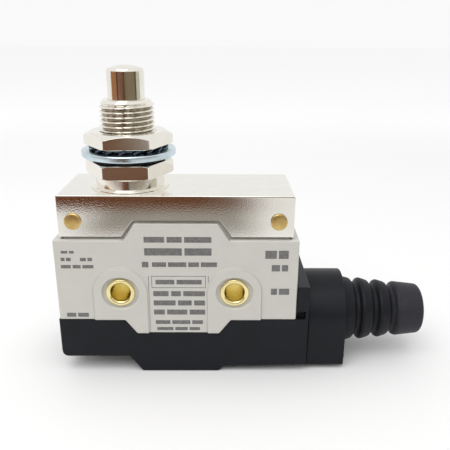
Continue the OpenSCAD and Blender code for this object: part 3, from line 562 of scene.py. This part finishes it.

# %% [markdown]
# The thread's crests are bright and its roots are a darker brown and rougher. The finish asks how far a point
# is from the axis, which is the length of its place with the height left out, and turns from the brown to
# metal between the root and the crest. Noise makes the line between them uneven.

# %% Thread finish
ROOT_BROWN, PLATING = (0.30, 0.25, 0.18), (0.86, 0.83, 0.76)
ROOT_ROUGH, CLEAN_ROUGH, SMUDGE_ROUGH = 0.28, 0.11, 0.05
root_darkened = Paint("oiled thread", Metallic=1.0)
sideways = root_darkened.node("ShaderNodeVectorMath", {"operation": "MULTIPLY_ADD"},
                      **{"0": root_darkened.place(), "1": (1, 1, 0), "2": (-AXIS_X * MM, 0, 0)})
from_axis = root_darkened.node("ShaderNodeVectorMath", {"operation": "LENGTH"}, 1, **{"0": sideways}) * MM_PER_METRE
uneven = root_darkened.noise(1.2, 4.0).step(0.25, 0.75, 0.25, 0.0)
# the roots are coloured a darker brown and made rougher; the crests, the chamfer and the collar stay plain metal
crests = (from_axis + uneven).step(THREAD_R - THREAD_DEPTH, THREAD_R - 0.04)
outside_bore = from_axis.step(GUIDE_R + 0.1, GUIDE_R + 0.25)
beyond_thread = from_axis.step(THREAD_R + 0.2, THREAD_R + 0.3)
on_chamfer = root_darkened.axis(2).step(bush_top - 1.3, bush_top - 0.9)
clean = (crests + beyond_thread + on_chamfer).step(0.0, 1.0)
smudges = root_darkened.noise(SMUDGE_PER_MM, 5.0) * SMUDGE_ROUGH * outside_bore
root_darkened.set(root_darkened.surface, {"Base Color": clean.blend(ROOT_BROWN, PLATING),
                          "Roughness": clean.step(0.0, 1.0, ROOT_ROUGH, CLEAN_ROUGH) + smudges})
root_darkened.bump(root_darkened.noise(1.6, 2.0), 0.002)
threaded.data.materials[0] = root_darkened.material
print("the thread is clean from", THREAD_R - 0.04, "mm outward")

# %% [markdown]
# ## Plunger
# A ground and polished pin with a low crown and a round edge. Only the part above the bushing is seen,
# but the collar and the bore inside are kept, because the pin moves and a pose may show them. Its outline
# is turned like the CAD one, with more points on the rounded edge.

# %% Plunger
PIN_R, PIN_EDGE, PIN_CROWN, PIN_BORE_R, PIN_BORE_H = 4.0, 0.8, 0.55, 2.4, 11.4
PIN_COLLAR_R, PIN_COLLAR_H = 4.7, 1.3
plunger_low, plunger_high = box_mm("plunger")
low_z, crown_z = plunger_low.z, plunger_high.z
flat_r, edge_z = PIN_R - PIN_EDGE, crown_z - PIN_CROWN - PIN_EDGE
edge = [(flat_r + PIN_EDGE * cos(a), edge_z + PIN_EDGE * sin(a)) for a in quarter(12)[:-1]]
dome_r = (flat_r ** 2 + PIN_CROWN ** 2) / (2 * PIN_CROWN)
crown_rings = [flat_r * (1 - k / 10) for k in range(11)]
crown = [(r, crown_z - dome_r + sqrt(dome_r ** 2 - r ** 2)) for r in crown_rings]
collar_z = low_z + PIN_COLLAR_H
pin = fillet([(PIN_BORE_R, low_z + PIN_BORE_H), (PIN_BORE_R, low_z), (PIN_COLLAR_R, low_z),
              (PIN_COLLAR_R, collar_z), (PIN_R, collar_z), (PIN_R, collar_z + 1)],
             [0, 0.1, 0.2, 0.2, 0.1, 0], 3)
bm = bmesh.new()
revolve(bm, [(0, low_z + PIN_BORE_H), *pin, *edge, *crown], along_z(AXIS_X), 128)
finish_piece("plunger_pin", bm, "plunger", "nickel", ("plunger",), 50)

# %% [markdown]
# ## Nuts
# A hexagon nut is a hexagon with two things done to it: its corners are a little round, and a 30 degree
# cone cuts them off at each end, which leaves the curved lines on the flats. Both are easy in polar form:
# for each angle the distance to the side is known, and the height of the cones follows from it. So
# the nut is a fan of outlines, one for each angle, closer together near the corners.

# %% Nuts
NUT_AF, CORNER_R, NUT_BORE_R, CONE_SLOPE = 17.0, 0.35, 6.08, tan(pi / 6)
BORE_EDGE, BORE_EDGE_LOW, BORE_EDGE_HIGH, MOUTH_EASE = 0.3, 0.35, 0.4, 0.12
BREAK, BREAK_H, FLAT_START, LEAST_CONE = 0.02, 0.015, 0.06, 0.05
SECTOR = [-30 + 0.4 * k for k in range(5)] + [-28 + k for k in range(9)] + [-18, -16, -14, -11, -7, 0]
SECTOR += [-d for d in reversed(SECTOR[1:-1])]


def hexagon(degrees_from_flat):
    """Distance from the axis to the side of the rounded hexagon, this far from the middle of a flat."""
    flat = NUT_AF / 2
    centre = (flat - CORNER_R) / cos(pi / 6)
    s = radians(30 - abs(degrees_from_flat))
    if s < atan2(CORNER_R * 0.5, centre + CORNER_R * cos(pi / 6)):
        return centre * cos(s) + sqrt(max(CORNER_R ** 2 - (centre * sin(s)) ** 2, 0))
    return flat / cos(radians(degrees_from_flat))


def nut_outline(side, thick, low_cone_r, high_cone_r):
    """The section of a nut, as (radius, height), where its side is this far from the axis."""
    cut_low, cut_high = (max(side - r, 0.0) * CONE_SLOPE for r in (low_cone_r, high_cone_r))
    edge_low, edge_high = (min(r, side - LEAST_CONE) for r in (low_cone_r, high_cone_r))
    skin, mouth_r = side - BREAK, NUT_BORE_R + BORE_EDGE
    flat = [(side, h) for h in (cut_low + FLAT_START, (thick + cut_low - cut_high) / 2,
                                thick - cut_high - FLAT_START)]
    cone = [(edge_high + (skin - edge_high) * k / 4, thick - (cut_high + 0.01) * k / 4) for k in (3, 2, 1)]
    return [(NUT_BORE_R, BORE_EDGE_LOW), (mouth_r, 0), (edge_low - 0.15, 0), (edge_low, 0.01),
            (skin, cut_low + BREAK_H), *flat, (skin, thick - cut_high - BREAK_H), *cone,
            (edge_high, thick - 0.006), (edge_high - 0.2, thick), (mouth_r + MOUTH_EASE, thick),
            (mouth_r, thick - 0.03), (NUT_BORE_R, thick - BORE_EDGE_HIGH)]


def hex_nut(name, node, turn_deg, low_cone_r, high_cone_r):
    """Builds a nut in the CAD box of its node; each cone starts at its radius on one of the end faces."""
    low, high = box_mm(node)
    bm = bmesh.new()
    rings = []
    for sector in range(6):
        for d in SECTOR:
            a = radians(turn_deg + 60 * sector + 30 + d)
            outline = nut_outline(hexagon(d), high.z - low.z, low_cone_r, high_cone_r)
            rings.append([bm.verts.new((AXIS_X + r * cos(a), r * sin(a), low.z + h)) for r, h in outline])
    for i, ring in enumerate(rings):
        after = rings[(i + 1) % len(rings)]
        for k in range(len(ring)):
            m = (k + 1) % len(ring)
            bm.faces.new([ring[k], ring[m], after[m], after[k]])
    finish_piece(name, bm, body_of[node], "nickel", (node,), 10)


hex_nut("nut_above", "upper_nut", turn_deg=6.0, low_cone_r=9.4, high_cone_r=8.1)
hex_nut("nut_below", "lower_nut", turn_deg=2.5, low_cone_r=9.3, high_cone_r=9.3)

# %% [markdown]
# ## Springs
# Two coil springs stand under and inside the plunger. A coil that is pressed keeps its width and loses
# height; each CAD coil gets a smooth-shaded copy, and the share of its height that it would keep over
# the plunger's travel is worked out and printed.

# %% Springs
SLACK = 0.2      # millimetres that a coil gives way beyond the travel, so that it never touches
slides = {joint["name"]: joint["range_m"][1] / MM for joint in frame["joints"] if "range_m" in joint}


def spring(name, node, taken_up):
    """A smooth-shaded copy of a CAD coil; prints the share of its height left once taken_up millimetres are gone.
    """
    low, high = box_mm(node)
    mesh = nodes[node].data.copy()
    made = bpy.data.objects.new(name, mesh)
    bpy.context.scene.collection.objects.link(made)
    for polygon in mesh.polygons:
        polygon.use_smooth = True
    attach(made, body_of[node])
    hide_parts(node)
    keep = (high.z - low.z - taken_up) / (high.z - low.z)
    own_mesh(made)
    print(f"{name}: {high.z - low.z:.2f} mm high, kept {keep:.2f} of it")


spring("return_coil", "return_spring", slides["plunger_slide"] + SLACK)
spring("overtravel_coil", "overtravel_spring", slides["plunger_slide"] - slides["pusher_slide"] + SLACK)

# %% [markdown]
# ## Washers
# The flat washer and the rubber seal are rings with rounded edges. The lock washer's teeth are twisted
# out of the plane of its ring so that they bite; the CAD shape has those twists, so a copy with softened
# edges is enough.

# %% Washers
WASHER_BORE_R, BORE_ROUND, TOOTH_EDGE = 6.2, 0.1, 0.07


def ring_piece(name, node, edge_r):
    """A flat ring in the CAD box of its node, with its outer edges rounded by edge_r."""
    low, high = box_mm(node)
    outer = (high.x - low.x) / 2
    outline = fillet([(WASHER_BORE_R, low.z), (outer, low.z), (outer, high.z), (WASHER_BORE_R, high.z)],
                     [BORE_ROUND, edge_r, edge_r, BORE_ROUND], 5)
    bm = bmesh.new()
    revolve(bm, outline, along_z(AXIS_X), 144)
    finish_piece(name, bm, body_of[node], slot_of[node], (node,))


ring_piece("flat_ring", "flat_washer", edge_r=0.3)
ring_piece("seal_ring", "seal_washer", edge_r=0.35)
softened("toothed_ring", "lock_washer", TOOTH_EDGE, 2)

# %% [markdown]
# ## Terminal cover and gland base
# These two are thick black mouldings with generous radii. The same softening is used with a larger
# width; the joint between them stays sharp and dark because the edges there are rounded too and leave a
# small valley.

# %% Terminal cover and gland base
LID_EDGE, BLOCK_EDGE, SCREW_EDGE = 0.4, 0.5, 0.12
LID_TOP_Z, LID_END_X, BLOCK_FACE_X, CABLE_Z = -8, 22, 37.5, -9.25


def lid_share(x, y, z):
    """Share of the rounding: half on the upper edges, a quarter at the end that meets the block."""
    if z >= LID_TOP_Z:
        return 0.5
    return 0.25 if x > LID_END_X else 1.0


def block_share(x, y, z):
    """Share of the rounding: small at the level of the cable's axis and round the boot."""
    if abs(z - CABLE_Z) < 0.3:
        return 0.3
    return 0.4 if x > BLOCK_FACE_X else 1.0


softened("lower_cover", "terminal_cover", LID_EDGE, 4, lid_share)
softened("gland_block", "gland_base", BLOCK_EDGE, 4, block_share)
for node in ("terminal_cover_screws", "gland_screws"):
    softened(node + "_round", node, SCREW_EDGE, 2)

# %% [markdown]
# ## Cable boot
# A rubber sleeve with three grooves that let it bend, getting thinner toward its end, which is domed.
# Its outline is the CAD one with each rib's edges rounded; between the points the rubber is smooth, so
# the shading carries the curve.

# %% Cable boot
boot_low, boot_high = box_mm("cable_boot")
BOOT_END, GLAND_END, FLANGE_END = boot_high.x, 38.6, 31.1
START_R, END_R, BORE_R, NECK_R, FLANGE_R, BOOT_ROUND = 8.0, 5.95, 4.0, 6.45, 8.3, 2.6
FIRST_GROOVE, GROOVE_PITCH, GROOVES = 42.15, 4.3, 3
GROOVE_CUT, MOUTH, FLOOR, RIB_EDGE, RIB_EASE, RIB_EASE_W = 1.1, 1.8, 0.8, 0.35, 0.12, 0.5
SLEEVE_GAP, EDGE_R = 0.05, 0.2


def boot_r(x):
    """Radius of the tapering sleeve at this distance along it."""
    return START_R + (END_R - START_R) * (x - GLAND_END) / (BOOT_END - GLAND_END)


sleeve_start = GLAND_END + SLEEVE_GAP
outline = [(BORE_R, boot_low.x), (FLANGE_R, boot_low.x), (FLANGE_R, FLANGE_END), (NECK_R, FLANGE_END),
           (NECK_R, sleeve_start), (boot_r(GLAND_END), sleeve_start)]
radii = [EDGE_R, EDGE_R, EDGE_R, EDGE_R, 0.1, 0.7]
for i in range(GROOVES):
    x = FIRST_GROOVE + i * GROOVE_PITCH
    r, m, f = boot_r(x), MOUTH / 2, FLOOR / 2
    groove = [(r - RIB_EASE, m + RIB_EASE_W), (r - RIB_EDGE, m), (r - GROOVE_CUT, f)]
    outline += [(depth, x - h) for depth, h in groove] + [(depth, x + h) for depth, h in reversed(groove)]
    radii += [0.5, 0.4, 0.35, 0.35, 0.4, 0.5]
outline += [(END_R, BOOT_END), (BORE_R, BOOT_END)]
radii += [BOOT_ROUND, 0.3]
bm = bmesh.new()
revolve(bm, fillet(outline, radii, 8), along_x(0, CABLE_Z), 144)
boot = finish_piece("ribbed_boot", bm, "root", "boot_rubber", ("cable_boot",), 60)
print("boot from x", round(boot_low.x, 2), "to", round(BOOT_END, 2))

# %% [markdown]
# The boot's rubber is a paler grey toward its end, on the last rib and the domed end, and dust sits on it
# in patches and specks. Both are shares of a paler colour: the first follows the distance along the boot,
# made uneven with noise, and the second is noise alone.

# %% Dusty rubber
RUBBER, GREYED, GREY_FROM, GREY_TO = (0.0050, 0.0058, 0.0085), (0.036, 0.036, 0.046), 51.0, 54.5
END_PALER_SHARE, DUST_SHARE = 0.6, 0.4
dusty = Paint("dusty rubber")
# the end of the boot, its last rib and domed end, is coloured a paler grey, made uneven with noise
paler_toward_end = (dusty.axis(0) + dusty.noise(0.4) * 3.0).step(GREY_FROM, GREY_TO)
patches, specks = dusty.noise(0.5, 5.0, 0.65).step(0.45, 0.8), dusty.noise(9.0, 2.0).step(0.62, 0.8)
dust = patches * 0.5 + specks * 0.6
dusty.set(dusty.surface, {"Base Color": (paler_toward_end * END_PALER_SHARE + dust * DUST_SHARE).blend(RUBBER, GREYED),
                          "Roughness": dust * 0.15 + 0.5, "Specular IOR Level": 0.22})
dusty.bump(dusty.noise(5.0, 3.0, 0.6), 0.012)
boot.data.materials[0] = dusty.material
print("grey from x", GREY_FROM, "to", GREY_TO)

# %% [markdown]
# ## Printed marks
# The face of such a switch carries printed text. Here it is plain bars of the size and place that words
# would have, which say nothing. Each bar is a flat box that stands a fiftieth of a millimetre proud of the
# face, and thin rules are made in the same way.

# %% Printed marks
INK_FACE_Y, INK_H, RULE_W, WORD_GAP = -10.8, 0.02, 0.12, 0.35


def words(x0, x1, z, h, lengths):
    """A row of bars from x0 to x1 with gaps, like words; lengths are in proportion."""
    unit = (x1 - x0) / (sum(lengths) + WORD_GAP * (len(lengths) - 1))
    bars = []
    for length in lengths:
        bars.append((x0, x0 + length * unit, z, z + h))
        x0 += (length + WORD_GAP) * unit
    return bars


def ruled_box(x0, x1, z0, z1):
    """Four rules round a rectangle."""
    return [(x0, x1, z1 - RULE_W, z1), (x0, x1, z0, z0 + RULE_W),
            (x0, x0 + RULE_W, z0, z1), (x1 - RULE_W, x1, z0, z1)]


# each row: where it starts and ends along x, the height of its foot, how tall it is, its words' lengths
rows_of_words = [
    (-7.0, 7.6, 12.0, 1.3, (3, 2.2, 4)), (-7.0, 7.6, 9.0, 1.7, (5, 3.6)), (-7.6, -6.2, 6.2, 1.3, (1,)),
    (-5.4, 8.8, 6.3, 1.1, (2.6, 3.4, 2, 3)), (-4.8, 5.4, 2.1, 1.1, (3, 4)),
    (-5.4, 6.1, -0.8, 1.25, (2.2, 1.4, 3.1)), (-5.4, 6.1, -3.1, 1.25, (3.2, 2.0, 1.6)),
    (-5.4, 6.1, -5.4, 1.25, (1.6, 3.0, 2.3)), (-5.1, 5.6, -7.8, 0.95, (2.6, 3.2, 1.9)),
    (-4.8, 4.9, -9.4, 0.8, (3.1, 2.4, 2.0)),
    (-25.0, -22.2, 9.4, 0.6, (1.4, 1)), (-25.2, -23.0, 7.6, 0.8, (1, 1.2)),
    (-21.0, -18.4, 7.6, 0.8, (1.3, 1)), (-25.3, -18.2, 5.9, 0.8, (2, 1.6, 2.2)),
    (-25.0, -20.1, -6.0, 1.0, (1.7, 2)),
    (19.3, 24.4, 8.3, 1.9, (2, 1.7)), (20.8, 24.4, 5.3, 1.5, (1.6, 1.2)), (20.8, 24.9, -0.4, 1.5, (1.2, 2)),
]
bars = [bar for row in rows_of_words for bar in words(*row)] + ruled_box(-5.7, 6.3, 1.25, 4.12)
bars += [(x, x + RULE_W, -9.9, 4.1) for x in (-6.4, 6.82)]
bm = bmesh.new()
for x0, x1, z0, z1 in bars:
    corners = [bm.verts.new((x, y, z)) for y in (INK_FACE_Y - INK_H, INK_FACE_Y + INK_H)
               for x, z in ((x0, z0), (x1, z0), (x1, z1), (x0, z1))]
    for quad in ((0, 1, 2, 3), (7, 6, 5, 4), (0, 4, 5, 1), (1, 5, 6, 2), (2, 6, 7, 3), (3, 7, 4, 0)):
        bm.faces.new([corners[k] for k in quad])
marks = finish_piece("printed_marks", bm, "root", "housing_plastic")
ink = Paint("printing ink")
faded = ink.noise(3.0, 3.0).step(0.3, 0.75)
ink.set(ink.surface, {"Base Color": faded.blend((0.12, 0.12, 0.12), (0.20, 0.20, 0.195)),
                      "Roughness": ink.noise(6.0) * 0.2 + 0.45})
ink.bump(ink.noise(9.0), 0.003)
marks.data.materials[0] = ink.material
print(len(bars), "bars")

# %% [markdown]
# ## Studio
# Polished metal shows the room more than itself, so the room matters. A pale floor and a white world give
# the plain background, and near the switch the floor is painted darker, a painted shade against the lamp's
# pool of light. A warm brown strip on the floor in front, a grey strip that is the painted shadow of the
# camera and the photographer, and a few dark cards far away, are what the plated faces mirror. The strips
# lie outside the main view, and the cards are hidden from the camera but not from the metal.

# %% Studio floor
FLOOR_Z, FAR, CARD_ROUGH = box_mm("terminal_cover")[0].z, 3000, 0.8
WHITE, SHADED_NEAR_WHITE, SHADOW_GREY = (0.98, 0.98, 0.98), (0.88, 0.88, 0.88), (0.16, 0.14, 0.11)
BROWN_NEAR, BROWN_FAR = (0.100, 0.032, 0.010), (0.135, 0.068, 0.038)
# where each part of the strips starts, is full, fades and ends, in millimetres
STRIP_WIDTH, MIDDLE = (-170, -120, 120, 200), (-58, -34, 12, 34)
SHADOW_STRIP, BROWN_STRIP = (84, 112, 620, 800), (129, 137, 560, 700)


def card(name, points, color):
    """A flat card through four points, in millimetres."""
    bm = bmesh.new()
    bm.faces.new([bm.verts.new(p) for p in points])
    for v in bm.verts:
        v.co *= MM
    mesh = bpy.data.meshes.new(name)
    bm.to_mesh(mesh)
    bm.free()
    made = bpy.data.objects.new(name, mesh)
    bpy.context.scene.collection.objects.link(made)
    p = Paint(name)
    p.set(p.surface, {"Base Color": color, "Roughness": CARD_ROUGH, "Specular IOR Level": 0.1})
    mesh.materials.append(p.material)
    return made, p


corners = [(x, y, FLOOR_Z) for x, y in ((-FAR, -FAR), (FAR, -FAR), (FAR, FAR), (-FAR, FAR))]
_, floor_paint = card("floor", corners, WHITE)
x_mm, y_mm = floor_paint.axis(0), floor_paint.axis(1)
ahead = y_mm * -1.0
wide, middle = x_mm.between(*STRIP_WIDTH), x_mm.between(*MIDDLE)
# painted shadow: the grey strip is the shadow that the camera and the photographer cast on the floor in front,
# darkest in the middle
painted_shadow = wide * ahead.between(*SHADOW_STRIP) * (middle * 0.68 + 0.22)
browned = (x_mm + ahead * 0.10).step(10, 60, 1.0, 0.0) * wide * ahead.between(*BROWN_STRIP)
brown = ahead.step(165, 195).blend(BROWN_NEAR, BROWN_FAR)
# painted shade: the floor near the switch is darker, which evens out the pool of light that the lamp casts there
around = abs(x_mm).step(120, 500) + abs(y_mm).step(120, 500)
pale = around.step(0.0, 1.0).blend(SHADED_NEAR_WHITE, WHITE)
cloud = floor_paint.noise(0.012, 2.0)
with_shadow = (painted_shadow * (cloud * 0.5 + 0.75)).blend(pale, SHADOW_GREY)
with_brown = (browned * (cloud * 0.4 + 0.8)).blend(with_shadow, brown)
floor_paint.set(floor_paint.surface, {"Base Color": with_brown, "Specular IOR Level": 0.0})
print("floor at z", round(FLOOR_Z, 2))

# %% [markdown]
# The cards stand in a ring round the switch. Each one spans an angle, so that together they make the
# broad brown and grey panels, with thin dark gaps, that run round the nuts and the bushing.

# %% Studio cards
CARD_DISTANCE = 560
# name, from angle, to angle, height, colour; the angles go round from straight in front
CARDS = (
    ("brown card", -86, -46, 130, (0.36, 0.165, 0.065)), ("dark card", -46, -39, 140, (0.03, 0.02, 0.015)),
    ("tan card", -39, -2, 125, (0.24, 0.115, 0.07)), ("thin dark card", -2, 1, 125, (0.04, 0.03, 0.02)),
    ("grey card", 1, 68, 120, (0.22, 0.175, 0.11)), ("olive card", 68, 76, 150, (0.05, 0.045, 0.022)),
    ("pale card", 76, 104, 115, (0.55, 0.56, 0.46)),
)


def standing_card(name, from_deg, to_deg, height, color):
    """A card standing on the floor, seen from the plunger between two angles round -Y."""
    (x0, y0), (x1, y1) = ((AXIS_X + CARD_DISTANCE * sin(a), -CARD_DISTANCE * cos(a))
                          for a in (radians(from_deg), radians(to_deg)))
    made, _ = card(name, [(x0, y0, FLOOR_Z), (x1, y1, FLOOR_Z), (x1, y1, height), (x0, y0, height)], color)
    made.visible_camera = False


for row in CARDS:
    standing_card(*row)
print(len(CARDS), "cards, all of them stage")

# %% [markdown]
# A white world lights everything evenly, like a light tent. One large soft lamp above and in front adds
# the direction that gives the shadows. The Standard view transform leaves white as white.

# %% Light
WORLD_STRENGTH = 0.95
world = bpy.data.worlds.new("studio")
bpy.context.scene.world = world
world.use_nodes = True
world.node_tree.nodes["Background"].inputs["Color"].default_value = (1.0, 1.0, 1.0, 1)
world.node_tree.nodes["Background"].inputs["Strength"].default_value = WORLD_STRENGTH


def lamp(name, place, target, size, power):
    """A soft square lamp that looks at a point; places in millimetres."""
    data = bpy.data.lights.new(name, "AREA")
    data.size, data.energy = size * MM, power
    made = bpy.data.objects.new(name, data)
    bpy.context.scene.collection.objects.link(made)
    made.location = Vector(place) * MM
    made.rotation_euler = (Vector(target) - Vector(place)).to_track_quat("-Z", "Y").to_euler()


lamp("overhead", place=(-90, -230, 400), target=(0, 0, 0), size=380, power=0.9)
bpy.context.scene.view_settings.view_transform = "Standard"
print("world strength", WORLD_STRENGTH)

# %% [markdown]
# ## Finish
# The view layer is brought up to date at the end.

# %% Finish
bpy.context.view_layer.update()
